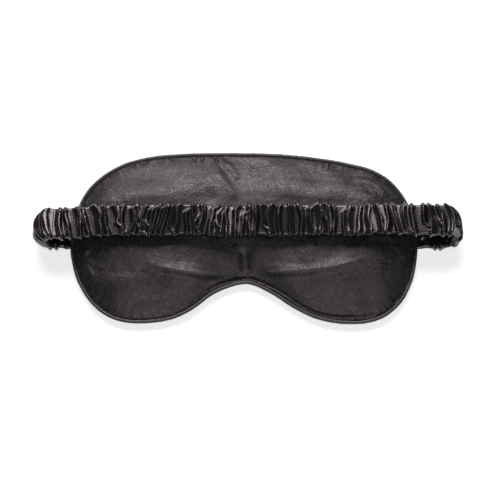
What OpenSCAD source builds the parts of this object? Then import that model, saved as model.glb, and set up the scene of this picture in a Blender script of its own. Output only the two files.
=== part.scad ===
// Padded satin sleep mask with a corded edge and a gathered elastic head strap.
// It lies on its front panel, face side up, with the strap across the top.
// +X runs along the strap, +Y towards the brow, +Z up; the origin is on the
// surface the mask lies on, under the middle of the mask.

/* [Mask] */
// Half width from the middle to the outer edge of the right side
right_reach = 104; // [96:0.5:112]
// Half width from the middle to the outer edge of the left side
left_reach = 104.5; // [96:0.5:112]
// Height of the top edge above the middle
top_reach = 54.5; // [48:0.5:62]
// Depth of the cheek lobes below the middle
lobe_reach = 55; // [48:0.5:62]
// Depth of the nose notch's top below the middle
notch_reach = 30.5; // [24:0.5:38]
// Height of the padded crown above the surface it lies on
crown_h = 10.4; // [8:0.1:11]
// Thickness of the satin panels
satin_t = 0.4; // [0.3:0.05:0.5]

/* [Piping] */
// Outer radius of the piping bead
piping_r = 1.1; // [0.9:0.05:1.3]
// Thickness of the bias strip round the cord
bias_t = 0.3; // [0.2:0.05:0.35]
// Height of the piping above the surface the mask lies on
seam_z = 3.6; // [3.2:0.1:4]
// Width of the flange sewn between the panels
flange_w = 2.6; // [2:0.1:3]

/* [Strap] */
// Width of the gathered cover
strap_w = 19.2; // [16:0.1:22]
// Thickness of the gathered cover
strap_t = 5.4; // [4:0.1:5.6]
// Width of the elastic inside
elastic_w = 16.6; // [12:0.1:18]
// Thickness of the elastic inside
elastic_t = 1.2; // [0.8:0.1:1.6]
// How far the right fold reaches from the middle
right_fold_reach = 130; // [126:0.5:136]
// How far the left fold reaches from the middle
left_fold_reach = 126; // [124:0.5:134]
// Height of the strap's middle line at the folds
strap_z = 18.6; // [18:0.1:20]
// How far the strap veers towards the cheeks at its left fold
left_veer = 3.2; // [0:0.1:4]
// How far the strap sags between the folds
strap_sag = 1.6; // [0:0.1:2]
// Bend radius of the folds
fold_r = 7.3; // [6:0.1:8]

/* [Hidden] */

// Colours
satin = [0.075, 0.076, 0.082];
lining_black = [0.03, 0.03, 0.035];
fibre_white = [0.86, 0.86, 0.84];
cord_grey = [0.62, 0.61, 0.58];
thread_black = [0.05, 0.05, 0.055];
elastic_black = [0.1, 0.1, 0.1];

// Outline anchors, clockwise: [x, y, heading, reach before, reach after]
LEFT_SIDE = [-left_reach, -6, 90, 19, 35];
LEFT_SHOULDER = [-left_reach + 28.5, top_reach - 8, 29, 15, 20];
TOP = [1, top_reach, 0, 17, 27];
RIGHT_SHOULDER = [right_reach - 30, top_reach - 9.5, -17, 19, 16];
RIGHT_SIDE = [right_reach, -3, -90, 27, 21];
RIGHT_LOBE = [right_reach - 39.5, -lobe_reach - 0.5, 180, 32, 16];
RIGHT_FLANK = [23, -notch_reach - 11, 144, 18, 6];
NOTCH = [1.5, -notch_reach, 180, 5, 7];
LEFT_FLANK = [-23, -notch_reach - 10, 221, 8, 16];
LEFT_LOBE = [-left_reach + 40.5, -lobe_reach, 180, 20, 28];
ANCHORS = [LEFT_SIDE, LEFT_SHOULDER, TOP, RIGHT_SHOULDER, RIGHT_SIDE,
    RIGHT_LOBE, RIGHT_FLANK, NOTCH, LEFT_FLANK, LEFT_LOBE];
// Steps along each stretch; the upper and the lower half have as many
STEPS = [8, 12, 12, 8, 9, 6, 5, 5, 6, 9];
HALF = 40;
N = 2 * HALF;

// Where the strap is sewn into the side seams
tab_y = 1.6;
tab_t = 1.6;
tab_z = 2.6;
tab_depth = 5.5;
tab_rise = 1.0;
tab_dip = 1.65;
tab_flat = strap_w / 2 + 3.6;
tab_fade = 7;
strap_y = 4.8;
veer_from = 72;
cover_t = 0.35;
tab_elastic_t = 0.7;
fold_split = 2.4;
split_gap = 0.15;

// Rings of the panels: inward offsets, then fractions of the way to the spine
OFFSETS = [2.2, 5, 8, 12];
FRACTIONS = [0.3, 0.6, 0.86];
BACK_Z = [seam_z + 0.75, seam_z + 1, seam_z + 3, crown_h - 2.2,
    crown_h - 1, crown_h - 0.25, crown_h];
FRONT_Z = [seam_z - 0.75, seam_z - 1, 1, 0, 0, 0, 0];
TAB_SHARE = [1, 1, 0.35, 0, 0, 0, 0];
spine_reach = 0.74;
bridge_dip = 0.2;
bridge_w = 15;

// ---------- outline ----------

function heading(a) = [cos(a), sin(a)];
function bezier(a, b, t) =
    let (p0 = [a[0], a[1]], p3 = [b[0], b[1]])
    let (p1 = p0 + a[4] * heading(a[2]), p2 = p3 - b[3] * heading(b[2]))
    pow(1 - t, 3) * p0 + 3 * t * pow(1 - t, 2) * p1
        + 3 * t * t * (1 - t) * p2 + pow(t, 3) * p3;

EDGE = [for (k = [0 : len(ANCHORS) - 1])
    for (s = [0 : STEPS[k] - 1])
        bezier(ANCHORS[k], ANCHORS[(k + 1) % len(ANCHORS)], s / STEPS[k])];

// Outward unit normal at each edge point
OUT = [for (i = [0 : N - 1])
    let (d = EDGE[(i + 1) % N] - EDGE[(i + N - 1) % N])
    [-d[1], d[0]] / norm(d)];

function inset(d) = [for (i = [0 : N - 1]) EDGE[i] - d * OUT[i]];

DEEP = inset(OFFSETS[len(OFFSETS) - 1]);
SPINE = [for (i = [0 : N - 1])
    let (m = (DEEP[i] + DEEP[(N - i) % N]) / 2)
    [spine_reach * m[0], m[1]]];

function towards_spine(f) = [for (i = [0 : N - 1])
    (1 - f) * DEEP[i] + f * SPINE[i]];

RINGS = concat([for (d = OFFSETS) inset(d)],
    [for (f = FRACTIONS) towards_spine(f)]);

// ---------- heights ----------

function ease(t) = let (c = min(1, max(0, t))) c * c * (3 - 2 * c);

// 1 where a strap end is sewn in, fading to 0 along the seam
function tab_here(p) = abs(p[0]) < 85 ? 0
    : 1 - ease((abs(p[1] - tab_y) - tab_flat) / tab_fade);

// Nose bridge: the padding is thinner along the middle
function crown_share(p) = 1 - bridge_dip * exp(-pow(p[0] / bridge_w, 2));

function back_z(k, p) = BACK_Z[0] + tab_rise * TAB_SHARE[k] * tab_here(p)
    + (BACK_Z[k] - BACK_Z[0]) * crown_share(p);

function front_z(k, p) = FRONT_Z[k] - tab_dip * TAB_SHARE[k] * tab_here(p);

function piping_z(p) = seam_z + tab_rise * tab_here(p);

// ---------- solids from rings ----------

function flat_list(lists) = [for (l = lists) for (e = l) e];

// Faces between ring k and ring k + 1, seen from above; flip turns them over
function band(k0, k1, flip) = [for (i = [0 : N - 1])
    let (j = (i + 1) % N)
    let (f = [k0 * N + i, k0 * N + j, k1 * N + j, k1 * N + i])
    flip ? [f[3], f[2], f[1], f[0]] : f];

// Closes the innermost ring by joining its upper half to its lower half
function zip(k, flip) = [for (i = [0 : HALF - 1])
    let (a = i == 0 ? [0, 1, N - 1]
        : i == HALF - 1 ? [i, HALF, HALF + 1]
        : [i, i + 1, N - i - 1, N - i])
    let (f = [for (v = a) k * N + v])
    flip ? [for (v = [len(f) - 1 : -1 : 0]) f[v]] : f];

// A closed shell: upper rings from the rim to the spine, then lower rings
module shell(upper, lower) {
    u = len(upper);
    l = len(lower);
    faces = concat(
        flat_list([for (k = [0 : u - 2]) band(k, k + 1, false)]),
        zip(u - 1, false),
        flat_list([for (k = [0 : l - 2]) band(u + k, u + k + 1, true)]),
        zip(u + l - 1, true),
        band(0, u, true));
    polyhedron(points = concat(flat_list(upper), flat_list(lower)), faces = faces);
}

// A closed loop whose section is swept along the stations
module loop(sections) {
    n = len(sections);
    m = len(sections[0]);
    faces = [for (i = [0 : n - 1]) for (j = [0 : m - 1])
        let (i2 = (i + 1) % n, j2 = (j + 1) % m)
        [i * m + j, i * m + j2, i2 * m + j2, i2 * m + j]];
    polyhedron(points = flat_list(sections), faces = faces);
}

// Places section points [inward, up] at each edge point
function along_edge(section, d, heights) = [for (i = [0 : N - 1])
    [for (s = section)
        let (p = EDGE[i] - (d + s[0]) * OUT[i])
        [p[0], p[1], heights[i] + s[1]]]];

// ---------- the padded mask ----------

module back_panel() {
    upper = [for (k = [0 : len(RINGS) - 1])
        [for (p = RINGS[k]) [p[0], p[1], back_z(k, p)]]];
    lower = [for (ring = upper) [for (p = ring) p - [0, 0, satin_t]]];
    color(satin) shell(upper, lower);
}

module front_panel() {
    lower = [for (k = [0 : len(RINGS) - 1])
        [for (p = RINGS[k]) [p[0], p[1], front_z(k, p)]]];
    upper = [for (ring = lower) [for (p = ring) p + [0, 0, satin_t]]];
    color(satin) shell(upper, lower);
}

module wadding() {
    clear = satin_t + 0.3;
    rim = [for (p = inset(7)) [p[0], p[1], seam_z]];
    shoulder = [for (p = inset(8.8))
        [p[0], p[1], BACK_Z[0] + (seam_z + 2.3 - BACK_Z[0]) * crown_share(p)]];
    crown = [for (k = [3 : len(RINGS) - 1])
        [for (p = RINGS[k]) [p[0], p[1], back_z(k, p) - clear]]];
    bottom = [for (d = [8.6, 13]) [for (p = inset(d))
        [p[0], p[1], d < 10 ? 2.2 : 1]]];
    floor_ring = [for (i = [0 : N - 1])
        let (p = 0.4 * inset(13)[i] + 0.6 * SPINE[i]) [p[0], p[1], 1]];
    color(fibre_white)
        shell(concat([rim, shoulder], crown), concat(bottom, [floor_ring]));
}

module blackout_lining() {
    color(lining_black)
        translate([0, 0, satin_t + 0.15])
            linear_extrude(0.25) polygon(inset(12.6));
}

module piping_cover() {
    turn = asin(bias_t / piping_r);
    inner_r = piping_r - bias_t;
    slit = 0.05;
    outer_arc = [for (s = [0 : 8])
        let (a = turn + s * (360 - 2 * turn) / 8)
        piping_r * [cos(a), sin(a)]];
    inner_arc = [for (s = [0 : 8])
        let (a = 356 - s * (352 / 8))
        inner_r * [cos(a), sin(a)]];
    section = concat([[piping_r + flange_w, bias_t]], outer_arc,
        [[piping_r + flange_w, -bias_t], [piping_r + flange_w, -slit]],
        inner_arc, [[piping_r + flange_w, slit]]);
    heights = [for (p = EDGE) piping_z(p)];
    color(satin) loop(along_edge(section, piping_r, heights));
}

module piping_cord() {
    cord_r = piping_r - bias_t - 0.12;
    section = [for (a = [30 : 60 : 330]) cord_r * [cos(a), sin(a)]];
    heights = [for (p = EDGE) piping_z(p)];
    color(cord_grey) loop(along_edge(section, piping_r, heights));
}

// A sewing thread that follows the seam; heights are its middle line's
module seam_thread(heights) {
    thread_r = 0.12;
    seam_inset = 2.9;
    section = [for (a = [0 : 90 : 270]) thread_r * [cos(a), sin(a)]];
    color(thread_black) loop(along_edge(section, seam_inset, heights));
}

module needle_thread() {
    seam_thread([for (p = EDGE) back_z(0, p) + 0.32]);
}

module bobbin_thread() {
    seam_thread([for (p = EDGE) front_z(0, p) - 0.32]);
}

// Hand stitches that close the gap the mask was turned and filled through
module closing_stitches() {
    first = 14;
    stitches = 10;
    color(thread_black)
        for (s = [0 : stitches - 1]) {
            t = s / stitches * 4;
            i = first + floor(t);
            p = EDGE[i] + (t - floor(t)) * (EDGE[i + 1] - EDGE[i]);
            q = p - 2.2 * OUT[i];
            translate([q[0], q[1], seam_z + 1.16])
                rotate(atan2(OUT[i][1], OUT[i][0]) + 25)
                    cube([1.8, 0.35, 0.3], center = true);
        }
}

// Rows of zigzag stitches that hold a strap end in the side seam
module strap_tack(side_x) {
    bars = 7;
    pitch = 2.5;
    sgn = sign(side_x);
    color(thread_black)
        for (b = [0 : bars - 1])
            translate([side_x - sgn * 3.8, tab_y + (b - (bars - 1) / 2) * pitch,
                tab_z + tab_t / 2 + 0.17])
                rotate(b % 2 == 0 ? 12 : -12)
                    cube([2, 0.35, 0.3], center = true);
}

module left_strap_tack() { strap_tack(-left_reach); }

module right_strap_tack() { strap_tack(right_reach); }

// ---------- the strap ----------

// How far towards the brow the strap's middle line lies at x
function strap_y_at(x) = strap_y - left_veer
    * ease((-x - veer_from) / (left_fold_reach - fold_r - strap_t / 2 - veer_from));

// Middle line of one fold: [x, y, z, thickness, elastic thickness]
function fold_path(side_x, reach) =
    let (sgn = sign(reach))
    let (xc = reach - sgn * (fold_r + strap_t / 2), zc = strap_z - fold_r)
    let (x0 = side_x + sgn * 0.5, z0 = zc - fold_r, y1 = strap_y_at(xc))
    concat(
        [[side_x - sgn * tab_depth, tab_y, tab_z, tab_t, tab_elastic_t],
         [x0, tab_y, tab_z, tab_t, tab_elastic_t]],
        [for (t = [0.2, 0.45, 0.7])
            [x0 + t * (xc - x0), tab_y, tab_z + ease(t / 0.8) * (z0 - tab_z),
             tab_t + ease(t / 0.55) * (strap_t - tab_t),
             tab_elastic_t + ease(t / 0.55) * (elastic_t - tab_elastic_t)]],
        [for (a = [0 : 22.5 : 180])
            [xc + sgn * fold_r * sin(a), tab_y + (y1 - tab_y) * a / 180,
             zc - fold_r * cos(a), strap_t, elastic_t]],
        [[xc - sgn * fold_split, strap_y_at(xc - sgn * fold_split), strap_z, strap_t, elastic_t]]);

// Where a fold ends and the run between the folds begins
function split_x(reach) = reach - sign(reach) * (fold_r + strap_t / 2 + fold_split);

// Middle line of the run between the folds
function span_path() =
    let (x0 = split_x(-left_fold_reach) + split_gap * 2)
    let (x1 = split_x(right_fold_reach) - split_gap * 2)
    [for (s = [0 : 14])
        let (t = s / 14)
        let (u = 2 * t - 1, x = x0 + t * (x1 - x0))
        [x, strap_y_at(x), strap_z - strap_sag * pow(1 - u * u, 2),
         strap_t, elastic_t]];

// Rounded section of a band: [across, through]
function band_section(w, t) =
    let (r = 0.48 * t)
    [for (c = [[1, 1, 0], [-1, 1, 90], [-1, -1, 180], [1, -1, 270]])
        for (a = [0, 30, 60, 90])
            [c[0] * (w / 2 - r) + r * cos(c[2] + a),
             c[1] * (t / 2 - r) + r * sin(c[2] + a)]];

// Sections set square to a path that lies in the XZ plane, one for each station
function band_rings(path, w, thick) = [for (i = [0 : len(path) - 1])
    let (a = path[max(0, i - 1)], b = path[min(len(path) - 1, i + 1)])
    let (d = [b[0] - a[0], b[2] - a[2]] / norm([b[0] - a[0], b[2] - a[2]]))
    let (p = path[i])
    [for (s = band_section(w, thick[i]))
        [p[0] - d[1] * s[1], p[1] + s[0], p[2] + d[0] * s[1]]]];

function turned(faces) = [for (f = faces) [for (v = [len(f) - 1 : -1 : 0]) f[v]]];

// Faces round a tube whose points start at base
function tube_faces(stations, m, base) =
    [for (i = [0 : stations - 2]) for (j = [0 : m - 1])
        let (j2 = (j + 1) % m)
        [base + (i + 1) * m + j, base + (i + 1) * m + j2,
         base + i * m + j2, base + i * m + j]];

// Faces between two rings of m points
function rim_faces(m, base0, base1) = [for (j = [0 : m - 1])
    let (j2 = (j + 1) % m)
    [base0 + j, base0 + j2, base1 + j2, base1 + j]];

// An open-ended hollow band along a path
module hollow_band(path, w, wall) {
    outer = band_rings(path, w, [for (p = path) p[3]]);
    inner = band_rings(path, w - 2 * wall, [for (p = path) p[3] - 2 * wall]);
    n = len(path);
    m = len(outer[0]);
    last = (n - 1) * m;
    faces = concat(tube_faces(n, m, 0), turned(tube_faces(n, m, n * m)),
        rim_faces(m, 0, n * m), rim_faces(m, n * m + last, last));
    polyhedron(points = concat(flat_list(outer), flat_list(inner)), faces = faces);
}

// A solid band along a path
module solid_band(path, w) {
    rings = band_rings(path, w, [for (p = path) p[4]]);
    n = len(path);
    m = len(rings[0]);
    start = [for (j = [0 : m - 1]) j];
    end = [for (j = [m - 1 : -1 : 0]) (n - 1) * m + j];
    polyhedron(points = flat_list(rings), faces = concat(tube_faces(n, m, 0), [start, end]));
}

LEFT_FOLD = fold_path(-left_reach, -left_fold_reach);
RIGHT_FOLD = fold_path(right_reach, right_fold_reach);
SPAN = span_path();

module strap_cover_left() { color(satin) hollow_band(LEFT_FOLD, strap_w, cover_t); }

module strap_cover_right() { color(satin) hollow_band(RIGHT_FOLD, strap_w, cover_t); }

module strap_cover_span() { color(satin) hollow_band(SPAN, strap_w, cover_t); }

module elastic_left() { color(elastic_black) solid_band(LEFT_FOLD, elastic_w); }

module elastic_right() { color(elastic_black) solid_band(RIGHT_FOLD, elastic_w); }

module elastic_span() { color(elastic_black) solid_band(SPAN, elastic_w); }

back_panel();
front_panel();
wadding();
blackout_lining();
piping_cover();
piping_cord();
needle_thread();
bobbin_thread();
closing_stitches();
left_strap_tack();
right_strap_tack();
strap_cover_left();
strap_cover_right();
strap_cover_span();
elastic_left();
elastic_right();
elastic_span();
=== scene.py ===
"""The looks of a padded satin sleep mask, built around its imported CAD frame.

Lengths in the building code are millimetres; meshes are written in metres.
+X runs along the strap, +Y towards the brow edge, +Z up from the floor.
"""
import math

import bpy
import numpy as np
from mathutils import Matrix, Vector


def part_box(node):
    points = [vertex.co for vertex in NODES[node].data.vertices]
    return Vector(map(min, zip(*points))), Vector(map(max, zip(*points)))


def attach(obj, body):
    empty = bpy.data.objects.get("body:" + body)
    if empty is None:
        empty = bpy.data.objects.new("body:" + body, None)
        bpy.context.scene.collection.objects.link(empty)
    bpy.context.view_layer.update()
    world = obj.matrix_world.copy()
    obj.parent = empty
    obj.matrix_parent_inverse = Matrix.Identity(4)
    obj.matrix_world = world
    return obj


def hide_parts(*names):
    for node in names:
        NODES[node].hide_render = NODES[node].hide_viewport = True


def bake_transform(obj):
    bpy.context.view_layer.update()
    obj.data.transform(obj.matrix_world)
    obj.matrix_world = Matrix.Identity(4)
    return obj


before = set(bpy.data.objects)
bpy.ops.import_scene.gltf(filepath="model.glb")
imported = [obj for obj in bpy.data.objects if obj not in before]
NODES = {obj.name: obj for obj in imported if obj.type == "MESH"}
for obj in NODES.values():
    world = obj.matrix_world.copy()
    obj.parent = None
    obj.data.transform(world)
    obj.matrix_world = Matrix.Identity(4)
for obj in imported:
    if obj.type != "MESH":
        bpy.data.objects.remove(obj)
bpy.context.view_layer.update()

MM = 0.001


def box_mm(node):
    """A CAD node's lowest and highest corners, in millimetres."""
    low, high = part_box(node)
    return np.array(low) / MM, np.array(high) / MM


# ---------------------------------------------------------------- sizes

PIPING_LOW, PIPING_HIGH = box_mm("piping_cover")
LEFT_REACH, RIGHT_REACH = -PIPING_LOW[0], PIPING_HIGH[0]
TOP_REACH = 54.5
LOBE_REACH = 55.0
NOTCH_REACH = 30.5
CROWN_Z = box_mm("back_panel")[1][2]
SEAM_Z = 3.6
PIPING_R = 1.1
CLOTH_T = 0.3
COVER_T = 0.16

# Outline anchors, clockwise: x, y, heading, reach before, reach after
ANCHORS = [
    (-LEFT_REACH, -6, 90, 19, 35),
    (-LEFT_REACH + 28.5, TOP_REACH - 8, 29, 15, 20),
    (1, TOP_REACH, 0, 17, 27),
    (RIGHT_REACH - 30, TOP_REACH - 9.5, -17, 19, 16),
    (RIGHT_REACH, -3, -90, 27, 21),
    (RIGHT_REACH - 39.5, -LOBE_REACH - 0.5, 180, 32, 16),
    (23, -NOTCH_REACH - 11, 144, 18, 6),
    (1.5, -NOTCH_REACH, 180, 5, 7),
    (-23, -NOTCH_REACH - 10, 221, 8, 16),
    (-LEFT_REACH + 40.5, -LOBE_REACH, 180, 20, 28),
]
UPPER_STRETCHES = 4

# Rings of the panels: inset from the edge, then past DEEP towards the spine
RIM = 2.2
DEEP = 12.0
SPINE_RUN = 36.0
SPINE_REACH = 0.74
RING_AT = [RIM, 3.4, 5, 8, DEEP, DEEP + 0.3 * SPINE_RUN, DEEP + 0.6 * SPINE_RUN, DEEP + 0.86 * SPINE_RUN]
BACK_Z = [3.9, 4.9, 5.9, 7.3, CROWN_Z - 2, CROWN_Z - 0.9, CROWN_Z - 0.25, CROWN_Z]
FRONT_Z = [2.85, 2.75, 2.6, 1.0, 0, 0, 0, 0]
TAB_SHARE = [1, 1, 1, 0.35, 0, 0, 0, 0]
BRIDGE_DIP = 0.2
BRIDGE_W = 15.0

# Strap
TAB_Y, TAB_Z, TAB_DEPTH = 1.6, 2.6, 5.5
TAB_RISE, TAB_DIP, TAB_FLAT, TAB_FADE = 1.0, 1.65, 13.2, 7.0
STRAP_W, STRAP_T = 19.2, 5.4
STRAP_Y, STRAP_Z, STRAP_SAG = 4.8, 18.6, 1.6
LEFT_VEER, VEER_FROM = 3.2, 72.0
FOLD_R, FOLD_SPLIT = 7.3, 2.4
LEFT_FOLD = -box_mm("strap_cover_left")[0][0]
RIGHT_FOLD = box_mm("strap_cover_right")[1][0]
ELASTIC_W, ELASTIC_T = 16.6, 1.2


# ---------------------------------------------------------------- small helpers

def ease(t):
    c = np.clip(t, 0, 1)
    return c * c * (3 - 2 * c)


def ridge(x, width):
    """A smooth bump of height 1 and half width about width."""
    return np.exp(-(x / width) ** 2)


def smooth_noise(shape, cells, seed):
    """Band-limited noise of unit spread on a grid; cells is how many waves each way."""
    rng = np.random.default_rng(seed)
    spectrum = np.fft.fft2(rng.normal(size=shape))
    waves = [np.abs(np.fft.fftfreq(n)) * n for n in shape]
    soft = np.exp(-(waves[0][:, None] / cells[0]) ** 2 - (waves[1][None, :] / cells[1]) ** 2)
    field = np.real(np.fft.ifft2(spectrum * soft))
    return field / field.std()


def noise_1d(count, waves, seed):
    """Periodic noise of unit spread along a line."""
    return smooth_noise((count, 1), (waves, 1), seed)[:, 0]


def grid_faces(rows, cols):
    """Quads over a grid of points, closed round its columns."""
    index = np.arange(rows * cols).reshape(rows, cols)
    a, b = index[:-1], index[1:]
    a2, b2 = np.roll(a, -1, 1), np.roll(b, -1, 1)
    return np.stack([a, b, b2, a2], -1).reshape(-1, 4).tolist()


def make_mesh(name, points, faces):
    """A smoothly shaded mesh object from points in millimetres."""
    mesh = bpy.data.meshes.new(name)
    mesh.from_pydata((np.asarray(points, float).reshape(-1, 3) * MM).tolist(), [], faces)
    mesh.update()
    mesh.polygons.foreach_set("use_smooth", [True] * len(mesh.polygons))
    obj = bpy.data.objects.new(name, mesh)
    bpy.context.scene.collection.objects.link(obj)
    return obj


def apply_modifiers(obj):
    """Bakes an object's modifiers into its mesh."""
    graph = bpy.context.evaluated_depsgraph_get()
    mesh = bpy.data.meshes.new_from_object(obj.evaluated_get(graph))
    obj.modifiers.clear()
    obj.data = mesh
    return obj


def thicken(obj, thickness):
    """Gives a cloth surface its thickness behind its outside, with a closed rim."""
    solid = obj.modifiers.new("thickness", "SOLIDIFY")
    solid.thickness = thickness * MM
    solid.offset = -1.0
    return apply_modifiers(obj)


# ---------------------------------------------------------------- outline

def bezier(a, b, t):
    p0, p3 = np.array(a[:2], float), np.array(b[:2], float)
    out = np.array([math.cos(math.radians(a[2])), math.sin(math.radians(a[2]))])
    back = np.array([math.cos(math.radians(b[2])), math.sin(math.radians(b[2]))])
    p1, p2 = p0 + a[4] * out, p3 - b[3] * back
    t = t[:, None]
    return (1 - t) ** 3 * p0 + 3 * t * (1 - t) ** 2 * p1 + 3 * t * t * (1 - t) * p2 + t ** 3 * p3


def evenly(points, count):
    """count points at even steps along a polyline, without its last point."""
    step = np.linalg.norm(np.diff(points, axis=0), axis=1)
    along = np.concatenate([[0], np.cumsum(step)])
    at = np.linspace(0, along[-1], count, endpoint=False)
    return np.stack([np.interp(at, along, points[:, k]) for k in range(points.shape[1])], -1)


def edge_points(count):
    """The outer edge: half the points along the upper side, half along the lower."""
    t = np.linspace(0, 1, 120, endpoint=False)
    total = len(ANCHORS)
    stretches = [bezier(ANCHORS[k], ANCHORS[(k + 1) % total], t) for k in range(total)]
    left, right = np.array([ANCHORS[0][:2]]), np.array([ANCHORS[UPPER_STRETCHES][:2]])
    upper = np.concatenate(stretches[:UPPER_STRETCHES] + [right])
    lower = np.concatenate(stretches[UPPER_STRETCHES:] + [left])
    return np.concatenate([evenly(upper, count // 2), evenly(lower, count // 2)])


def outward(edge):
    """Outward unit normals of a clockwise closed line."""
    along = np.roll(edge, -1, 0) - np.roll(edge, 1, 0)
    normal = np.stack([-along[:, 1], along[:, 0]], -1)
    return normal / np.linalg.norm(normal, axis=1)[:, None]


def panel_plan(count, insets):
    """Plan positions of a panel's rings: one row of points for each inset."""
    edge = edge_points(count)
    out = outward(edge)
    deep = edge - DEEP * out
    mirror = deep[(-np.arange(count)) % count]
    spine = (deep + mirror) / 2 * np.array([SPINE_REACH, 1])
    rings = []
    for inset in insets:
        if inset <= DEEP:
            rings.append(edge - inset * out)
        else:
            share = (inset - DEEP) / SPINE_RUN
            rings.append((1 - share) * deep + share * spine)
    return np.array(rings)


def zip_faces(rows, cols):
    """Closes the innermost ring by joining its upper half to its lower half."""
    base, half = (rows - 1) * cols, cols // 2
    faces = [[base, base + cols - 1, base + 1]]
    for i in range(1, half - 1):
        faces.append([base + i, base + cols - i, base + cols - i - 1, base + i + 1])
    faces.append([base + half - 1, base + half + 1, base + half])
    return faces


def tab_here(xy):
    """1 where a strap end is sewn into the seam, fading to 0 along it."""
    near = 1 - ease((np.abs(xy[..., 1] - TAB_Y) - TAB_FLAT) / TAB_FADE)
    return np.where(np.abs(xy[..., 0]) < 85, 0, near)


def crown_share(xy):
    """The padding is thinner along the nose bridge."""
    return 1 - BRIDGE_DIP * ridge(xy[..., 0], BRIDGE_W)


def profile(insets, heights):
    """A smooth height for each ring, from the CAD rings' heights."""
    fine = np.arange(0, RING_AT[-1] + 8, 0.1)
    rough = np.interp(fine, RING_AT, heights)
    kernel = np.hanning(21)
    padded = np.pad(rough, 10, mode="edge")
    smooth = np.convolve(padded, kernel / kernel.sum(), mode="valid")
    return np.interp(insets, fine, smooth)


def back_surface(plan, insets):
    z = profile(insets, BACK_Z)[:, None]
    share = profile(insets, TAB_SHARE)[:, None]
    height = BACK_Z[0] + TAB_RISE * share * tab_here(plan) + (z - BACK_Z[0]) * crown_share(plan)
    return np.concatenate([plan, height[..., None]], -1)


def front_surface(plan, insets):
    z = profile(insets, FRONT_Z)[:, None]
    share = profile(insets, TAB_SHARE)[:, None]
    height = z - TAB_DIP * share * tab_here(plan)
    return np.concatenate([plan, np.maximum(height, 0)[..., None]], -1)


def refine(grid):
    """Doubles a ring grid both ways with a smooth cubic."""
    ahead, behind = np.roll(grid, -1, 1), np.roll(grid, 1, 1)
    between = (9 * (grid + ahead) - behind - np.roll(grid, -2, 1)) / 16
    wide = np.stack([grid, between], 2).reshape(grid.shape[0], -1, grid.shape[2])
    padded = np.concatenate([2 * wide[:1] - wide[1:2], wide, 2 * wide[-1:] - wide[-2:-1]])
    rows = (9 * (padded[1:-2] + padded[2:-1]) - padded[:-3] - padded[3:]) / 16
    out = np.empty((2 * wide.shape[0] - 1,) + wide.shape[1:])
    out[0::2], out[1::2] = wide, rows
    return out


# ---------------------------------------------------------------- cloth

SIM_SCALE = 10.0
# Columns that the settled cloth is smoothed over, along the rim
RIPPLE_SPAN = 13
# Rings sewn down, then each panel's spare cloth, pressure, and how far a point may move
PINNED_RINGS = 2
BACK_SLACK, BACK_PRESSURE, BACK_CAP = 0.022, 2.2, 2.4
FRONT_SLACK, FRONT_PRESSURE, FRONT_CAP = 0.012, -0.6, 1.2


def settle_cloth(grid, pinned_rings, slack, pressure, frames=20):
    """Blender's cloth on a ring grid: the rim is sewn down and the slack cloth is blown up."""
    rows, cols = grid.shape[:2]
    points = grid.reshape(-1, 3) * MM * SIM_SCALE
    faces = grid_faces(rows, cols) + zip_faces(rows, cols)
    mesh = bpy.data.meshes.new("cloth_start")
    mesh.from_pydata(points.tolist(), [], faces)
    obj = bpy.data.objects.new("cloth_start", mesh)
    bpy.context.scene.collection.objects.link(obj)
    obj.shape_key_add(name="Basis")
    key = obj.shape_key_add(name="Rest")
    key.data.foreach_set("co", (points * (1 + slack)).reshape(-1))
    pins = obj.vertex_groups.new(name="pins")
    pins.add(list(range(pinned_rings * cols)), 1.0, "REPLACE")
    cloth = obj.modifiers.new("cloth", "CLOTH")
    s = cloth.settings
    s.vertex_group_mass = "pins"
    s.rest_shape_key = key
    s.quality = 6
    s.mass = 0.3
    s.tension_stiffness = s.compression_stiffness = 25
    s.shear_stiffness = 8
    s.bending_stiffness = 0.3
    s.tension_damping = s.compression_damping = s.shear_damping = 5
    s.air_damping = 2
    s.effector_weights.gravity = 0
    s.use_pressure = True
    s.uniform_pressure_force = pressure
    cloth.point_cache.frame_start, cloth.point_cache.frame_end = 1, frames
    for number in range(1, frames + 1):
        bpy.context.scene.frame_set(number)
    graph = bpy.context.evaluated_depsgraph_get()
    settled = np.empty(len(points) * 3)
    obj.evaluated_get(graph).data.vertices.foreach_get("co", settled)
    bpy.data.objects.remove(obj)
    bpy.context.scene.frame_set(1)
    return settled.reshape(rows, cols, 3) / SIM_SCALE / MM


def capped(grid, start, limit):
    """Keeps each point within limit millimetres of where it started, without rim ripples."""
    kernel = np.hanning(RIPPLE_SPAN + 2)[1:-1]
    kernel /= kernel.sum()
    reach = RIPPLE_SPAN // 2
    move = sum(w * np.roll(grid - start, k - reach, 1) for k, w in enumerate(kernel))
    far = np.linalg.norm(move, axis=-1, keepdims=True)
    return start + move * np.tanh(far / limit) * limit / np.maximum(far, 1e-9)


# ---------------------------------------------------------------- panels

PANEL_COLS = 512
PANEL_INSETS = np.concatenate([
    np.arange(RIM, 5, 0.9), np.arange(5, DEEP, 1.2), np.arange(DEEP, DEEP + 0.95 * SPINE_RUN, 1.9)])


def inset_rows(insets):
    """The insets of a refined grid's rows."""
    out = np.empty(2 * len(insets) - 1)
    out[0::2], out[1::2] = insets, (insets[1:] + insets[:-1]) / 2
    return out


# Length of the outer edge, all the way round
SEAM_LENGTH = 561.0


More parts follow.
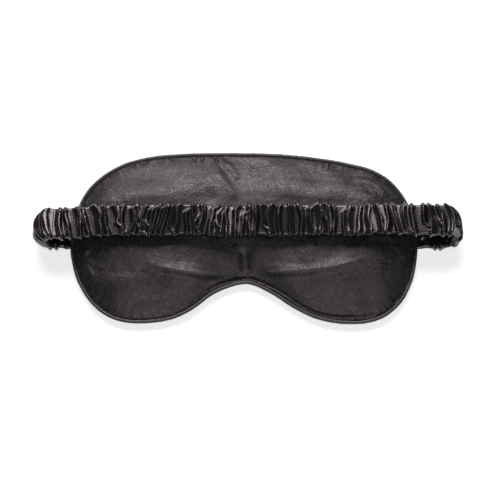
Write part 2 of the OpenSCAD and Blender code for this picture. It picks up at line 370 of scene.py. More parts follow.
def seam_puckers(count, rows, seed, pitch=3.6):
    """Radial puckers that start in the seam and die out over the flat margin."""
    waves = SEAM_LENGTH / pitch
    fine = noise_1d(count, waves, seed) * 0.6 + noise_1d(count, waves * 0.45, seed + 1) * 0.6
    strength = np.clip(1 + 0.6 * noise_1d(count, 14, seed + 2), 0.15, 2.2)
    reach = 2.6 + 1.0 * np.clip(noise_1d(count, 20, seed + 3), -1, 2)
    depth = np.exp(-np.maximum(rows[:, None] - 3.2, 0) / reach[None, :])
    tuck = ease((rows[:, None] - RIM) / 0.9)
    return fine * strength * depth * tuck


# Where the seam's line of stitches shows: inset, half width, depth, pitch, and its run in x
SEAM_LINE_AT, SEAM_LINE_W, SEAM_LINE_DEPTH, SEAM_LINE_PITCH = 3.6, 0.6, 1.0, 2.6
SEAM_LINE_RUN = (-26.0, 76.0)


def seam_line(xy, rows):
    """The groove that the seam's stitches press into the satin along the lower edge."""
    edge = xy[0]
    step = np.linalg.norm(np.roll(edge, -1, 0) - edge, axis=1)
    along = np.cumsum(step)
    shown = ease((edge[:, 0] - SEAM_LINE_RUN[0]) / 14) * ease((SEAM_LINE_RUN[1] - edge[:, 0]) / 14)
    shown = np.where(edge[:, 1] < 0, shown, 0)
    at = SEAM_LINE_AT + 0.3 * np.sin(2 * math.pi * along / 47)
    pressed = 0.7 + 0.3 * np.cos(2 * math.pi * along / SEAM_LINE_PITCH)
    return SEAM_LINE_DEPTH * ridge(rows[:, None] - at[None, :], SEAM_LINE_W) * (shown * pressed)[None, :]


def crease(xy, ends, width, bend=0.0):
    """A soft line from one point to another: 1 on it, fading across and at its ends."""
    a, b = np.array(ends[0], float), np.array(ends[1], float)
    d = b - a
    length = np.linalg.norm(d)
    t = ((xy - a) @ d) / length ** 2
    side = ((xy - a) @ np.array([-d[1], d[0]])) / length
    side = side - bend * 4 * t * (1 - t)
    return ridge(side, width) * ease(t / 0.25) * ease((1 - t) / 0.25)


def step_fold(xy, ends, rise, fall, bend=0.0):
    """A roll of cloth: it rises gently on one side of a line and drops on the other."""
    a, b = np.array(ends[0], float), np.array(ends[1], float)
    d = b - a
    length = np.linalg.norm(d)
    t = ((xy - a) @ d) / length ** 2
    side = ((xy - a) @ np.array([-d[1], d[0]])) / length - bend * 4 * t * (1 - t)
    shape = np.where(side > 0, np.exp(-(np.abs(side) / rise) ** 1.15), np.exp(-(side / fall) ** 2))
    return shape * ease(t / 0.3) * ease((1 - t) / 0.3)


# Soft creases of the back panel: ends of the line, width, height, bend
BACK_CREASES = [
    (((1, -36), (0, -8)), 3.0, -1.5, 0.0),
    (((-96, 16), (2, 31)), 8.0, 1.0, 2.5),
    (((-6, 30), (98, 18)), 8.0, 0.95, 2.5),
    (((-14, 50), (-3, 33)), 2.2, 0.5, 0.8),
    (((-20, 42), (-4, 20)), 3.0, 0.65, 0.8),
    (((-17.5, 48), (-9, 37)), 1.5, -0.45, 0.0),
    (((-29, 33), (-17, 18)), 5.0, -0.6, 0.0),
    (((-102, -7), (-93, -13)), 1.6, 0.4, 0.6),
    (((-98, -19), (-89, -29)), 2.0, 0.55, 0.8),
    (((-95, -12), (-86, -19)), 2.2, -0.4, 0.0),
    (((-76, -41), (-48, -41)), 1.6, -0.22, -1.0),
    (((66, 36), (82, 33)), 1.8, 0.45, 0.8),
    (((78, 33), (95, 22)), 1.8, 0.5, 1.0),
    (((70, 30), (92, 18)), 2.6, -0.4, 0.0),
]
# Short tucks that start in the seam beside the turning gap
SEAM_TUCKS = [
    (((-31, 54), (-30.4, 46.5)), 0.8, -0.7, 0.0),
    (((-26.2, 54), (-25.7, 46.5)), 0.8, -0.7, 0.0),
    (((-18.7, 54.5), (-16.5, 45)), 0.9, -0.7, 0.5),
    (((-12.4, 54.5), (-10.5, 47)), 1.0, -0.6, -0.5),
]
# Rolls beside the nose notch: ends, gentle side, steep side, height, bend
BACK_ROLLS = [
    (((-62, -20), (-2, -27)), 4.0, 2.2, 1.7, -2.0),
    (((2, -23), (76, -16)), 4.4, 2.4, 1.7, -5.0),
]


# Heights of the seam's puckers, and of the filling's broad and small lumps
BACK_PUCKER, FRONT_PUCKER = 0.22, 0.18
BROAD_LUMPS, SMALL_LUMPS = 0.2, 0.035


def undulation(xy, shortest, longest, seed):
    """Unevenness of the filling under the cloth: a sum of waves of unit spread."""
    rng = np.random.default_rng(seed)
    count = 16
    out = np.zeros(xy.shape[:-1])
    for _ in range(count):
        heading, phase = rng.uniform(0, 2 * math.pi, 2)
        wave = rng.uniform(shortest, longest)
        along = xy[..., 0] * math.cos(heading) + xy[..., 1] * math.sin(heading)
        out += np.sin(2 * math.pi * along / wave + phase)
    return out / math.sqrt(count / 2)


def back_panel_grid():
    plan = panel_plan(PANEL_COLS, PANEL_INSETS)
    start = back_surface(plan, PANEL_INSETS)
    settled = start
    blown = settle_cloth(start, PINNED_RINGS, BACK_SLACK, BACK_PRESSURE)
    settled = capped(blown, start, BACK_CAP)
    fine = refine(settled)
    rows = inset_rows(PANEL_INSETS)
    xy = fine[..., :2]
    fine[..., 2] += BACK_PUCKER * seam_puckers(fine.shape[1], rows, 11)
    inner = ease((rows - 4) / 6)[:, None]
    broad, small = undulation(xy, 15, 34, 12), undulation(xy, 4.5, 9, 13)
    fine[..., 2] += (BROAD_LUMPS * broad + SMALL_LUMPS * small) * inner
    for ends, width, height, bend in BACK_CREASES:
        fine[..., 2] += height * crease(xy, ends, width, bend) * inner
    fine[..., 2] -= seam_line(xy, rows)
    for ends, width, height, bend in SEAM_TUCKS:
        fine[..., 2] += height * crease(xy, ends, width, bend) * ease((rows - 2.4) / 1.2)[:, None]
    for ends, rise, fall, height, bend in BACK_ROLLS:
        fine[..., 2] += height * step_fold(xy, ends, rise, fall, bend) * inner
    return fine


def front_panel_grid():
    plan = panel_plan(PANEL_COLS, PANEL_INSETS)
    start = front_surface(plan, PANEL_INSETS)
    settled = start
    blown = settle_cloth(start, PINNED_RINGS, FRONT_SLACK, FRONT_PRESSURE)
    settled = capped(blown, start, FRONT_CAP)
    fine = refine(settled)
    rows = inset_rows(PANEL_INSETS)
    fine[..., 2] += FRONT_PUCKER * seam_puckers(fine.shape[1], rows, 31)
    flat = ease((rows - 9) / 4)[:, None]
    fine[..., 2] = np.maximum(fine[..., 2], 0) * (1 - flat) + np.clip(fine[..., 2], 0, 0.1) * flat
    return fine


def panel_object(name, grid, up):
    """A panel cut from cloth: its outside faces up or down."""
    rows, cols = grid.shape[:2]
    faces = grid_faces(rows, cols) + zip_faces(rows, cols)
    if not up:
        faces = [f[::-1] for f in faces]
    obj = make_mesh(name, grid, faces)
    return thicken(obj, CLOTH_T)


# How far inside the edge the wadding begins
WADDING_INSET = 6.8


def wadding_object(back, front):
    """The fibre that fills the mask: a lumpy closed pad between the panels."""
    rows = inset_rows(PANEL_INSETS)
    keep = rows >= WADDING_INSET
    top, low = back[keep][:, ::2].copy(), front[keep][:, ::2].copy()
    lumps = smooth_noise(top.shape[:2], (12, 26), 5)
    depth = ease((rows[keep] - WADDING_INSET) / 5)[:, None]
    top[..., 2] += -1.3 - 0.25 * lumps
    low[..., 2] = np.maximum(low[..., 2] + 1.0, 1.15)
    middle = 0.5 * (top[0, :, 2] + low[0, :, 2])
    top[..., 2] = depth * top[..., 2] + (1 - depth) * np.minimum(top[..., 2], middle)
    low[..., 2] = depth * low[..., 2] + (1 - depth) * np.minimum(middle, top[..., 2])
    count, cols = top.shape[:2]
    ring = [[i, count * cols + i, count * cols + (i + 1) % cols, (i + 1) % cols] for i in range(cols)]
    upper = [f[::-1] for f in grid_faces(count, cols) + zip_faces(count, cols)]
    lower = [[v + count * cols for v in f] for f in grid_faces(count, cols) + zip_faces(count, cols)]
    return make_mesh("wadding_fill", np.concatenate([top, low]), upper + lower + ring)


# ---------------------------------------------------------------- piping and threads

def tube(name, centre, across, up, radii):
    """A closed loop of tube; radii has a row for each station and a column round it."""
    turn = np.linspace(0, 2 * math.pi, radii.shape[1], endpoint=False)
    ring = (np.cos(turn)[None, :, None] * across[:, None, :]
            + np.sin(turn)[None, :, None] * up[:, None, :])
    points = centre[:, None, :] + radii[..., None] * ring
    count, cols = radii.shape
    index = np.arange(count * cols).reshape(count, cols)
    ahead = np.roll(index, -1, 0)
    faces = np.stack([index, np.roll(index, -1, 1), np.roll(ahead, -1, 1), ahead], -1)
    return make_mesh(name, points, faces.reshape(-1, 4).tolist())


def seam_height(xy):
    return SEAM_Z + TAB_RISE * tab_here(xy)


def piping_object():
    """The corded edge, with the small cross puckers of a bias strip."""
    count, sides = 1600, 16
    edge = edge_points(count)
    out = outward(edge)
    waver = 0.05 * noise_1d(count, 40, 21)
    xy = edge - (PIPING_R + 0.04 + np.abs(waver))[:, None] * out
    z = seam_height(edge) + 0.05 * noise_1d(count, 40, 22)
    centre = np.concatenate([xy, z[:, None]], -1)
    across = np.concatenate([out, np.zeros((count, 1))], -1)
    up = np.tile([0.0, 0.0, 1.0], (count, 1))
    folds = smooth_noise((count, sides), (230, 1.6), 23)
    swell = 1 + 0.02 * noise_1d(count, 60, 24)[:, None]
    strength = np.clip(0.6 + 0.5 * noise_1d(count, 16, 25), 0.15, 1.6)[:, None]
    radii = PIPING_R * swell * (1 + 0.028 * folds * strength)
    return tube("piping_bead", centre, across, up, np.clip(radii, 0.9, 1.2))


# The seam's stitches: from one to the next, length, and the thread's radius
STITCH_PITCH, STITCH_LENGTH, THREAD_R = 2.6, 2.1, 0.17


def stitch_row(name, points, lift, pitch, length, radius):
    """Separate stitches along a line of points: short threads that dip at both ends."""
    step = np.linalg.norm(np.roll(points, -1, 0) - points, axis=1)
    along = np.concatenate([[0], np.cumsum(step)])
    closed = np.concatenate([points, points[:1]])
    total = int(along[-1] / pitch)
    sides, rings = 6, 7
    turn = np.linspace(0, 2 * math.pi, sides, endpoint=False)
    t = np.linspace(-0.5, 0.5, rings)
    verts, faces = [], []
    for number in range(total):
        at = (number + 0.5) * along[-1] / total + t * length
        line = np.stack([np.interp(at % along[-1], along, closed[:, k]) for k in range(3)], -1)
        line[:, 2] += lift * (1 - (2 * t) ** 4) - 0.12
        d = line[-1] - line[0]
        d /= np.linalg.norm(d)
        side = np.cross([0, 0, 1.0], d)
        side /= np.linalg.norm(side)
        up = np.cross(d, side)
        size = radius * np.sqrt(np.clip(1 - (2 * t) ** 6, 0.08, 1))
        ring = np.cos(turn)[:, None] * side + np.sin(turn)[:, None] * up
        base = len(verts)
        verts.extend((line[:, None, :] + size[:, None, None] * ring[None]).reshape(-1, 3))
        for f in grid_faces(rings, sides):
            faces.append([base + v for v in f])
        faces.append([base + v for v in range(sides)])
        faces.append([base + (rings - 1) * sides + v for v in range(sides - 1, -1, -1)])
    return make_mesh(name, np.array(verts), faces)


def needle_stitches(back):
    """The seam's upper stitches, in the ditch beside the piping."""
    row = back[1, ::2]
    return stitch_row("needle_stitches", row, 0.16, STITCH_PITCH, STITCH_LENGTH, THREAD_R)


def bobbin_stitches(front):
    row = front[1, ::2].copy()
    row[:, 2] -= 0.1
    return stitch_row("bobbin_stitches", row, -0.05, STITCH_PITCH, STITCH_LENGTH, THREAD_R)


# Where the turning gap lies in x, and the edge points from one of its stitches to the next
TURNING_GAP = (-42, -18)
GAP_STITCH_STEP = 7


def closing_stitches():
    """Slanted hand stitches over the turning gap at the brow edge."""
    count = 1600
    edge = edge_points(count)
    out = outward(edge)
    chosen = [i for i in range(count // 2) if TURNING_GAP[0] < edge[i][0] < TURNING_GAP[1]]
    verts, faces = [], []
    sides, rings = 6, 7
    turn = np.linspace(0, 2 * math.pi, sides, endpoint=False)
    for i in chosen[::GAP_STITCH_STEP]:
        t = np.linspace(-0.5, 0.5, rings)
        along = np.array([out[i][1], -out[i][0]])
        mid = edge[i] - 2.1 * out[i]
        line_xy = mid + t[:, None] * (1.9 * out[i] + 1.0 * along)
        z = SEAM_Z + 0.82 + 0.35 * (1 - (2 * t) ** 2)
        line = np.concatenate([line_xy, z[:, None]], -1)
        d = line[-1] - line[0]
        d /= np.linalg.norm(d)
        side = np.cross([0, 0, 1.0], d)
        up = np.cross(d, side)
        ring = np.cos(turn)[:, None] * side + np.sin(turn)[:, None] * up
        base = len(verts)
        verts.extend((line[:, None, :] + 0.16 * ring[None]).reshape(-1, 3))
        for f in grid_faces(rings, sides):
            faces.append([base + v for v in f])
        faces.append([base + v for v in range(sides)])
        faces.append([base + (rings - 1) * sides + v for v in range(sides - 1, -1, -1)])
    return make_mesh("turning_gap_stitches", np.array(verts), faces)


# ---------------------------------------------------------------- strap

def strap_y_at(x):
    """How far towards the brow the strap's middle line lies at x."""
    return STRAP_Y - LEFT_VEER * ease((-x - VEER_FROM) / (LEFT_FOLD - FOLD_R - STRAP_T / 2 - VEER_FROM))


def fold_line(side_x, reach):
    """Middle line of one end, from inside the seam, round the fold, to the upper run."""
    sign = math.copysign(1, reach)
    xc = reach - sign * (FOLD_R + STRAP_T / 2)
    zc = STRAP_Z - FOLD_R
    x0, z0 = side_x + sign * 0.5, zc - FOLD_R
    t = np.linspace(0, 1, 60)
    lower = np.stack([x0 + t * (xc - x0), np.full(60, TAB_Y), TAB_Z + ease(t / 0.8) * (z0 - TAB_Z)], -1)
    a = np.linspace(0, math.pi, 90)[1:]
    bend_y = TAB_Y + (strap_y_at(xc) - TAB_Y) * a / math.pi
    bend = np.stack([xc + sign * FOLD_R * np.sin(a), bend_y, zc - FOLD_R * np.cos(a)], -1)
    tab = np.array([[side_x - sign * TAB_DEPTH, TAB_Y, TAB_Z]])
    return np.concatenate([tab, lower, bend])


def strap_line(step):
    """The whole strap's middle line at even steps, with where each fold ends."""
    left = fold_line(-LEFT_REACH, -LEFT_FOLD)
    right = fold_line(RIGHT_REACH, RIGHT_FOLD)[::-1]
    x = np.linspace(left[-1][0], right[0][0], 400)[1:-1]
    split0 = left[-1][0] + FOLD_SPLIT
    split1 = right[0][0] - FOLD_SPLIT
    u = np.clip(2 * (x - split0) / (split1 - split0) - 1, -1, 1)
    span = np.stack([x, strap_y_at(x), STRAP_Z - STRAP_SAG * (1 - u * u) ** 2], -1)
    line = np.concatenate([left, span, right])
    length = np.linalg.norm(np.diff(line, axis=0), axis=1).sum()
    points = evenly(line, int(length / step))
    upper = np.nonzero(points[:, 2] > STRAP_Z - FOLD_R)[0]
    inside = upper[(points[upper, 0] > split0) & (points[upper, 0] < split1)]
    return points, inside[0], inside[-1]


def strap_frames(points):
    """Tangents and outward normals of a line that stays near the XZ plane."""
    d = np.gradient(points, axis=0)
    kernel = np.hanning(9)
    kernel /= kernel.sum()
    for k in range(3):
        d[:, k] = np.convolve(np.pad(d[:, k], 4, mode="edge"), kernel, mode="valid")
    d[:, 1] = 0
    d /= np.linalg.norm(d, axis=1)[:, None]
    normal = np.stack([-d[:, 2], np.zeros(len(d)), d[:, 0]], -1)
    return d, normal


def band_section(width, thickness, count):
    """Points and outward normals round a flat tube, at even steps; it starts on the outer face."""
    r = thickness / 2
    flat = width - thickness
    length = 2 * flat + 2 * math.pi * r
    at = np.linspace(0, length, count, endpoint=False)
    points, normals = np.zeros((count, 2)), np.zeros((count, 2))
    for k, s in enumerate(at):
        if s < flat:
            points[k], normals[k] = (s - flat / 2, r), (0, 1)
        elif s < flat + math.pi * r:
            a = (s - flat) / r
            normals[k] = (math.sin(a), math.cos(a))
            points[k] = (flat / 2 + r * math.sin(a), r * math.cos(a))
        elif s < 2 * flat + math.pi * r:
            points[k], normals[k] = (flat / 2 - (s - flat - math.pi * r), -r), (0, -1)
        else:
            a = (s - 2 * flat - math.pi * r) / r
            normals[k] = (-math.sin(a), -math.cos(a))
            points[k] = (-flat / 2 - r * math.sin(a), -r * math.cos(a))
    return points, normals


# How far the band's corners draw back from each fold's outermost line: lower edge, upper edge
LEFT_DRAW, RIGHT_DRAW = (5.0, 5.0), (1.6, 5.5)
DRAW_RUN = 15.0
RUCHE_STEP = 0.3
RUCHE_SIDES = 84
SLEEVE_W, SLEEVE_T = 18.4, 2.0

# Gathers: height of a crest, its half width, and how square its top is
FOLD_H = 2.0
CREST_W = 0.95
CREST_POWER = 3.6
# At the left fold the satin lies open at this x, with these gathers before and after it
OPEN_FACET_X = -112.5
FOLD_GATHERS = [-17.6, -15.2, -12.8, -10.5, -8.3, -6.1, -4.0, 3.8]
FOLD_GATHERS_SPAN = (-19.5, 6.4)
# Gathers closer than MERGE_GAP may run together; a ridge may cross gaps within LINK_GAPS
MERGE_GAP, MERGE_CHANCE = 5, 0.6
LINK_GAPS, LINK_CHANCE = (3.8, 6), 0.16
# The band turns towards the brow here, by this many degrees over this length
FACET_TURN, FACET_TURN_RUN = 8.0, 12.0


# Of the seeds 42, 43, 47 and 51, the one that looked nearest the photo
GATHERS_SEED = 43


def gather_positions(length, facet, rng):
    """Where the gathers stand along the strap: close groups with wider gaps between."""
    at, out = 1.0, []
    while at < length - 1:
        for _ in range(rng.integers(2, 5)):
            out.append(at)
            at += rng.uniform(3.4, 5.4)
        at += rng.uniform(0.2, 2.4)
    low, high = facet + np.array(FOLD_GATHERS_SPAN)
    free = [s for s in out if not low < s < high]
    return np.sort(np.concatenate([free, facet + np.array(FOLD_GATHERS)]))


def crest_shape(d):
    return 1 / (1 + (np.abs(d) / CREST_W) ** CREST_POWER)


def trough(s_grid, before, after, high_before, high_after, tilt):
    """Heights between two gathers: steep walls, and a slanting open floor."""
    gap = np.maximum(after - before, 0.3)
    t = (s_grid - before) / gap
    wide = np.minimum(gap / 4, 1.6)
    floor = 0.4 + tilt * (t - 0.5) * wide - 0.7 * np.sin(math.pi * t) * (wide - 0.5)
    wall_before = high_before * crest_shape(s_grid - before)
    wall_after = high_after * crest_shape(after - s_grid)
    wall = np.maximum(wall_before, wall_after)
    return np.maximum(floor, 0) * (1 - wall / FOLD_H) + wall


def gathers(s_grid, side_y, slant, facet, seed):
    """The height of the gathered cover over its sleeve, on a grid along and round the strap."""
    rng = np.random.default_rng(seed)
    rows, cols = len(s_grid), len(side_y)
    v = np.arange(cols) / cols
    at = gather_positions(s_grid[-1], facet, rng)
    plain_from, plain_to = facet + np.array(FOLD_GATHERS_SPAN)

    def waver(size):
        out = np.zeros(cols)
        for k in range(1, 4):
            out += size / k * rng.normal() * np.sin(2 * math.pi * (k * v + rng.uniform()))
        return out

    q = side_y / side_y.max()
    lines = np.array([
        s + waver(0.6) + rng.normal(0, 0.8) * (1 - q * q)
        - np.interp(s, s_grid, slant) * side_y for s in at])
    lines = np.sort(lines, axis=0)
    highs = np.array([FOLD_H * np.clip(rng.uniform(0.85, 1.05) + waver(0.1), 0.4, 1.1) for _ in at])
    tilts = np.array([rng.choice([-0.7, 1.3, 1.6]) * rng.uniform(0.5, 1.2) + waver(0.35) for _ in at])
    for i in range(len(at) - 1):
        gap = lines[i + 1] - lines[i]
        by_facet = plain_from < at[i] < plain_to
        if gap.mean() < MERGE_GAP and not by_facet and rng.uniform() < MERGE_CHANCE:
            where = rng.choice([0.42, 0.5, 0.92, 0.0]) + rng.uniform(-0.03, 0.03)
            d = np.abs((v - where + 0.5) % 1 - 0.5)
            lines[i] = lines[i] + 0.96 * gap * ease((0.14 - d) / 0.09)
    field = np.zeros((rows, cols))
    for c in range(cols):
        k = np.clip(np.searchsorted(lines[:, c], s_grid) - 1, 0, len(at) - 2)
        field[:, c] = trough(
            s_grid, lines[k, c], lines[k + 1, c], highs[k, c], highs[k + 1, c], tilts[k, c])
    for i in range(len(at) - 1):
        gap = lines[i + 1] - lines[i]
        if gap.mean() < LINK_GAPS[0] or gap.mean() > LINK_GAPS[1] or at[i] < plain_to:
            continue
        for face in (0.21, 0.71):
            if rng.uniform() < LINK_CHANCE:
                a = face + rng.uniform(-0.2, -0.12)
                b = a + rng.uniform(0.2, 0.34)
                t = np.clip((v - a) / (b - a), 0, 1)
                if rng.uniform() < 0.5:
                    t = 1 - t
                window = ease((v - a) / 0.07) * ease((b - v) / 0.07)
                link = lines[i] + gap * ease(t)
                high = FOLD_H * rng.uniform(0.6, 0.95) * window
                near = np.abs(s_grid - link.mean()) < 12
                ridge_here = high[None, :] * crest_shape(s_grid[near, None] - link[None, :])
                field[near] = np.maximum(field[near], ridge_here)
    soft = np.pad(field, ((1, 1), (0, 0)), mode="edge")
    return 0.25 * soft[:-2] + 0.5 * soft[1:-1] + 0.25 * soft[2:]


def drawn_in(x, y):
    """How far in x the band's corners draw back near each fold's outermost line."""
    low_edge = np.clip(-y / (STRAP_W / 2), 0, None) ** 3
    high_edge = np.clip(y / (STRAP_W / 2), 0, None) ** 3
    left = ease((-x - LEFT_FOLD + DRAW_RUN) / DRAW_RUN)[:, None]
    right = ease((x - RIGHT_FOLD + DRAW_RUN) / DRAW_RUN)[:, None]
    left_draw = left * (LEFT_DRAW[0] * low_edge + LEFT_DRAW[1] * high_edge)
    return left_draw - right * (RIGHT_DRAW[0] * low_edge + RIGHT_DRAW[1] * high_edge)


def strap_cover():
    """The gathered cover over the whole strap, as a grid of points, with the folds' ends."""
    points, first, last = strap_line(RUCHE_STEP)
    rows = len(points)
    length = rows * RUCHE_STEP
    tangent, normal = strap_frames(points)
    section, outwards = band_section(SLEEVE_W, SLEEVE_T, RUCHE_SIDES)
    s_grid = np.arange(rows) * RUCHE_STEP
    x, upper = points[:, 0], points[:, 2] > STRAP_Z - FOLD_R
    facet = np.interp(OPEN_FACET_X, x[upper], s_grid[upper])
    slant = 0.07 * noise_1d(rows, length / 45, 46) + 0.17 * ridge(s_grid - facet - 18, 26)
    height = gathers(s_grid, section[:, 0], slant, facet, GATHERS_SEED)
    from_end = np.minimum(np.arange(rows), np.arange(rows)[::-1]) * RUCHE_STEP
    full = ease((from_end - TAB_DEPTH - 0.6) / 4.5)[:, None]
    flat_share = np.abs(outwards[:, 1])[None, :]
    lift = height * (0.5 + 0.5 * flat_share) * full + 0.12
    flatten = (1 - full) * 0.42
    lean = 0.45 * noise_1d(rows, length / 12, 43)[:, None] * (height * full)
    y = section[None, :, 0] + outwards[None, :, 0] * lift
    n = section[None, :, 1] * (1 - flatten) + outwards[None, :, 1] * lift
    drift = 0.35 * noise_1d(rows, length / 16, 44)[:, None]
    twist = math.radians(2.2) * noise_1d(rows, length / 60, 45)[:, None] * full
    twist -= math.radians(FACET_TURN) * ridge(s_grid - facet, FACET_TURN_RUN)[:, None]
    n = n + y * twist
    grid = points[:, None, :] + n[..., None] * normal[:, None, :]
    grid = grid + lean[..., None] * tangent[:, None, :]
    grid[..., 1] += y + drift * full
    grid[..., 0] += drawn_in(x, y)
    return grid, first, last


def strap_pieces():
    grid, first, last = strap_cover()
    names = ("gathers_left", "gathers_span", "gathers_right")
    cuts = ((0, first + 1), (first, last + 1), (last, len(grid)))
    out = []
    for name, (a, b) in zip(names, cuts):
        part = grid[a:b]
        faces = [f[::-1] for f in grid_faces(part.shape[0], part.shape[1])]
        out.append(make_mesh(name, part, faces))
    return out


def elastic_fold(name, side_x, reach):
    """Ribbed elastic round one fold, inside the cover."""
    line = evenly(fold_line(side_x, reach), 90)
    if reach > 0:
        line = line[::-1]
    tangent, normal = strap_frames(line)
    section, outwards = band_section(ELASTIC_W, ELASTIC_T, 120)
    ribs = 0.07 * np.cos(section[:, 0] * 2 * math.pi / 0.9) * np.abs(outwards[:, 1])
    from_tab = np.arange(90) if reach < 0 else np.arange(90)[::-1]
    thin = 1 - 0.42 * (1 - ease((from_tab / 90 * 45 - TAB_DEPTH) / 6))[:, None]
    n = (section[None, :, 1] + outwards[None, :, 1] * ribs[None, :]) * thin
    grid = line[:, None, :] + n[..., None] * normal[:, None, :]
    grid[..., 1] += section[None, :, 0]
    grid[..., 0] += drawn_in(line[:, 0], section[None, :, 0])
    rows, cols = grid.shape[:2]
    faces = [f[::-1] for f in grid_faces(rows, cols)]
    faces.append(list(range(cols)))
    faces.append([(rows - 1) * cols + k for k in range(cols - 1, -1, -1)])
    return make_mesh(name, grid, faces)


# ---------------------------------------------------------------- materials

class Nodes:
    """Short calls for building a material's nodes."""

    def __init__(self, name):
        self.material = bpy.data.materials.new(name)
        self.material.use_nodes = True
        self.tree = self.material.node_tree
        self.shader = self.tree.nodes["Principled BSDF"]
        self.place = self.add("ShaderNodeTexCoord").outputs["Object"]

    def add(self, kind, **settings):
        node = self.tree.nodes.new(kind)
        for key, value in settings.items():
            setattr(node, key, value)
        return node

    def join(self, a, b):
        self.tree.links.new(a, b)

    def noise(self, size_mm, detail=2.0, stretch=(1, 1, 1), roughness=0.5):
        mapping = self.add("ShaderNodeMapping")
        mapping.inputs["Scale"].default_value = stretch
        self.join(self.place, mapping.inputs["Vector"])
        node = self.add("ShaderNodeTexNoise")
        node.inputs["Scale"].default_value = 1 / (size_mm * MM)
        node.inputs["Detail"].default_value = detail
        node.inputs["Roughness"].default_value = roughness
        self.join(mapping.outputs["Vector"], node.inputs["Vector"])
        return node.outputs["Fac"]

    def ramp(self, value, stops):
        node = self.add("ShaderNodeValToRGB")
        elements = node.color_ramp.elements
        while len(elements) < len(stops):
            elements.new(0.5)
        for element, (at, colour) in zip(elements, stops):
            element.position = at
            element.color = (*colour, 1)
        self.join(value, node.inputs["Fac"])
        return node.outputs["Color"]

    def scaled(self, value, low, high):
        node = self.add("ShaderNodeMapRange")
        node.inputs["To Min"].default_value = low
        node.inputs["To Max"].default_value = high
        self.join(value, node.inputs["Value"])
        return node.outputs["Result"]

    def mixed(self, a, b, share):
        node = self.add("ShaderNodeMix", data_type="FLOAT")
        node.inputs["Factor"].default_value = share
        self.join(a, node.inputs["A"])
        self.join(b, node.inputs["B"])
        return node.outputs["Result"]

    def bump(self, value, depth_mm, strength=1.0, under=None):
        node = self.add("ShaderNodeBump")
        node.inputs["Distance"].default_value = depth_mm * MM
        node.inputs["Strength"].default_value = strength
        self.join(value, node.inputs["Height"])
        if under is not None:
            self.join(under, node.inputs["Normal"])
        return node.outputs["Normal"]

    def finish(self, colour, roughness, normal, **constants):
        self.join(colour, self.shader.inputs["Base Color"])
        self.join(roughness, self.shader.inputs["Roughness"])
        self.join(normal, self.shader.inputs["Normal"])
        for key, value in constants.items():
            self.shader.inputs[key.replace("_", " ")].default_value = value
        return self.material


# Black satin's highlights lean a little towards purple
SATIN_TINT = (1.0, 0.88, 0.96, 1)
SHEEN_TINT = (0.86, 0.8, 0.84, 1)


def satin(name, dark, light, rough, spread, relief, warp=(1, 3, 1), specular=0.5, sheen=0.04):
    """Black satin: fine floats along the warp, a sparkling grain, faint worn patches."""
    n = Nodes(name)
    floats = n.noise(0.34, 2, warp)
    grain = n.noise(1.35, 2)
    patches = n.noise(16, 3)
    mix = n.mixed(n.mixed(floats, grain, 0.5), patches, 0.25)
    colour = n.ramp(mix, [(0.32, dark), (0.68, light)])
    roughness = n.scaled(n.mixed(grain, patches, 0.25), rough - spread, rough + spread)
    slubs = n.bump(n.noise(2.2, 2), 0.1 * relief, 0.7)
    normal = n.bump(n.mixed(floats, grain, 0.7), 0.2 * relief, 1.0, slubs)
    return n.finish(colour, roughness, normal, Specular_IOR_Level=specular, Specular_Tint=SATIN_TINT,
                    Sheen_Weight=sheen, Sheen_Roughness=0.4, Sheen_Tint=SHEEN_TINT)


def matt_fibre(name, dark, light, size_mm, stretch, depth_mm):
    """Matt fibrous stuff: wadding, cord, thread, elastic and lining."""
    n = Nodes(name)
    strands = n.noise(size_mm, 4, stretch, 0.65)
    clumps = n.noise(size_mm * 6, 2)
    colour = n.ramp(n.mixed(strands, clumps, 0.3), [(0.3, dark), (0.7, light)])
    roughness = n.scaled(strands, 0.72, 0.95)
    return n.finish(colour, roughness, n.bump(strands, depth_mm, 0.9), Sheen_Weight=0.15)


def thread_material():
    """Twisted polyester thread with a little shine."""
    n = Nodes("sewing_thread_look")
    twist = n.noise(0.16, 2, (2.5, 0.8, 1))
    colour = n.ramp(twist, [(0.3, (0.006, 0.006, 0.007)), (0.7, (0.03, 0.03, 0.034))])
    return n.finish(colour, n.scaled(twist, 0.4, 0.6), n.bump(twist, 0.04, 0.8), Sheen_Weight=0.1)


def floor_material():
    """A plain pale floor with a hint of paper grain."""
    n = Nodes("floor_look")
    grain = n.noise(3.0, 3)
    colour = n.ramp(grain, [(0.2, (0.62, 0.62, 0.62)), (0.8, (0.66, 0.66, 0.66))])
    return n.finish(colour, n.scaled(grain, 0.8, 0.9), n.bump(grain, 0.02, 0.2),
                    Emission_Color=(1, 1, 1, 1), Emission_Strength=0.62)


def dress(obj, material):
    obj.data.materials.clear()
    obj.data.materials.append(material)
    return obj


# ---------------------------------------------------------------- build

back_grid = back_panel_grid()
front_grid = front_panel_grid()
back_panel = panel_object("face_side_satin", back_grid, True)
front_panel = panel_object("outer_side_satin", front_grid, False)
wadding = wadding_object(back_grid, front_grid)
piping = piping_object()
needle = needle_stitches(back_grid)
bobbin = bobbin_stitches(front_grid)
closing = closing_stitches()
gathers_left, gathers_span, gathers_right = strap_pieces()
elastic_left = elastic_fold("stretch_core_left", -LEFT_REACH, -LEFT_FOLD)
elastic_right = elastic_fold("stretch_core_right", RIGHT_REACH, RIGHT_FOLD)
for cover in (gathers_left, gathers_span, gathers_right):
    thicken(cover, COVER_T)

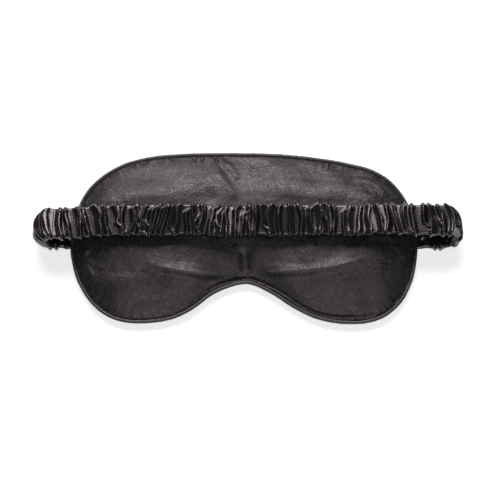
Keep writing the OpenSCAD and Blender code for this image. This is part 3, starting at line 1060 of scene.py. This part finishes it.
PANEL_DARK, PANEL_LIGHT = (0.006, 0.0052, 0.0058), (0.021, 0.0182, 0.0198)
STRAP_DARK, STRAP_LIGHT = (0.0026, 0.0023, 0.0026), (0.008, 0.007, 0.0078)
panel_satin = satin("panel_satin_look", PANEL_DARK, PANEL_LIGHT, 0.37, 0.5, 1.05)
piping_satin = satin("piping_satin_look", PANEL_DARK, PANEL_LIGHT, 0.46, 0.2, 0.6, (2, 2, 1), 0.8)
strap_satin = satin("strap_satin_look", STRAP_DARK, STRAP_LIGHT, 0.25, 0.08, 0.2, (3, 1, 1), 0.95, 0.0)
fibre = matt_fibre("wadding_look", (0.62, 0.62, 0.6), (0.88, 0.88, 0.86), 0.5, (1, 1, 3), 0.4)
blackout = matt_fibre(
    "blackout_look", (0.006, 0.006, 0.006), (0.018, 0.018, 0.019), 0.3, (1, 1, 1), 0.05)
cotton = matt_fibre("piping_cotton_look", (0.45, 0.43, 0.38), (0.72, 0.7, 0.64), 0.3, (1, 1, 1), 0.1)
webbing = matt_fibre("elastic_look", (0.01, 0.01, 0.01), (0.04, 0.04, 0.04), 0.35, (3, 1, 1), 0.08)
thread = thread_material()

dress(back_panel, panel_satin)
dress(front_panel, panel_satin)
dress(wadding, fibre)
dress(piping, piping_satin)
for piece in (needle, bobbin, closing):
    dress(piece, thread)
for piece in (gathers_left, gathers_span, gathers_right):
    dress(piece, strap_satin)
for piece in (elastic_left, elastic_right):
    dress(piece, webbing)
dress(NODES["blackout_lining"], blackout)
dress(NODES["piping_cord"], cotton)
dress(NODES["elastic_span"], webbing)
dress(NODES["left_strap_tack"], thread)
dress(NODES["right_strap_tack"], thread)

# ---------------------------------------------------------------- bodies

for piece, node in (
        (back_panel, "back_panel"), (front_panel, "front_panel"), (wadding, "wadding"),
        (piping, "piping_cover"), (needle, "needle_thread"), (bobbin, "bobbin_thread"),
        (closing, "closing_stitches")):
    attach(piece, "mask")
    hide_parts(node)
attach(gathers_span, "strap")
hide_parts("strap_cover_span")

# Each fold's cover and elastic keep their world places, unparented, and their CAD parts are hidden
for piece, node, foot_x, sign in (
        (gathers_left, "strap_cover_left", -LEFT_REACH, -1),
        (elastic_left, "elastic_left", -LEFT_REACH, -1),
        (gathers_right, "strap_cover_right", RIGHT_REACH, 1),
        (elastic_right, "elastic_right", RIGHT_REACH, 1)):
    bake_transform(piece)
    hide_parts(node)

# ---------------------------------------------------------------- floor, light, camera


def area_light(name, where, target, size, watts):
    data = bpy.data.lights.new(name, "AREA")
    data.shape = "RECTANGLE"
    data.size, data.size_y = size
    data.energy = watts
    obj = bpy.data.objects.new(name, data)
    obj.location = where
    aim = Vector(target) - Vector(where)
    obj.rotation_euler = aim.to_track_quat("-Z", "Y").to_euler()
    bpy.context.scene.collection.objects.link(obj)


floor = make_mesh("floor", np.array([(-3000, -3000, -0.1), (3000, -3000, -0.1), (3000, 3000, -0.1),
                                     (-3000, 3000, -0.1)]), [[0, 1, 2, 3]])
dress(floor, floor_material())

KEY_WATTS, FILL_WATTS, WORLD_STRENGTH = 17.5, 6.5, 0.06
area_light("key_light", (-0.1, 0.97, 1.0), (0, 0, 0), (1.0, 0.58), KEY_WATTS)
area_light("fill_light", (0.1, -0.6, 1.35), (0, 0, 0), (1.0, 0.8), FILL_WATTS)

world = bpy.data.worlds.new("studio")
bpy.context.scene.world = world
world.use_nodes = True
world.node_tree.nodes["Background"].inputs["Color"].default_value = (1, 1, 1, 1)
world.node_tree.nodes["Background"].inputs["Strength"].default_value = WORLD_STRENGTH

CAMERA_ELEVATION = math.radians(70)
LENS = 100.0
SENSOR = 36.0
VIEW_WIDTH = 0.3
aim_at = Vector((0.0033, -0.0089, SEAM_Z * MM))
distance = VIEW_WIDTH * LENS / SENSOR
camera_data = bpy.data.cameras.new("camera")
camera_data.lens = LENS
camera_data.sensor_width = SENSOR
camera = bpy.data.objects.new("camera", camera_data)
towards_camera = Vector((0, -math.cos(CAMERA_ELEVATION), math.sin(CAMERA_ELEVATION)))
camera.location = aim_at + distance * towards_camera
camera.rotation_euler = (math.pi / 2 - CAMERA_ELEVATION, 0, 0)
bpy.context.scene.collection.objects.link(camera)
bpy.context.scene.camera = camera
bpy.context.scene.view_settings.view_transform = "Standard"
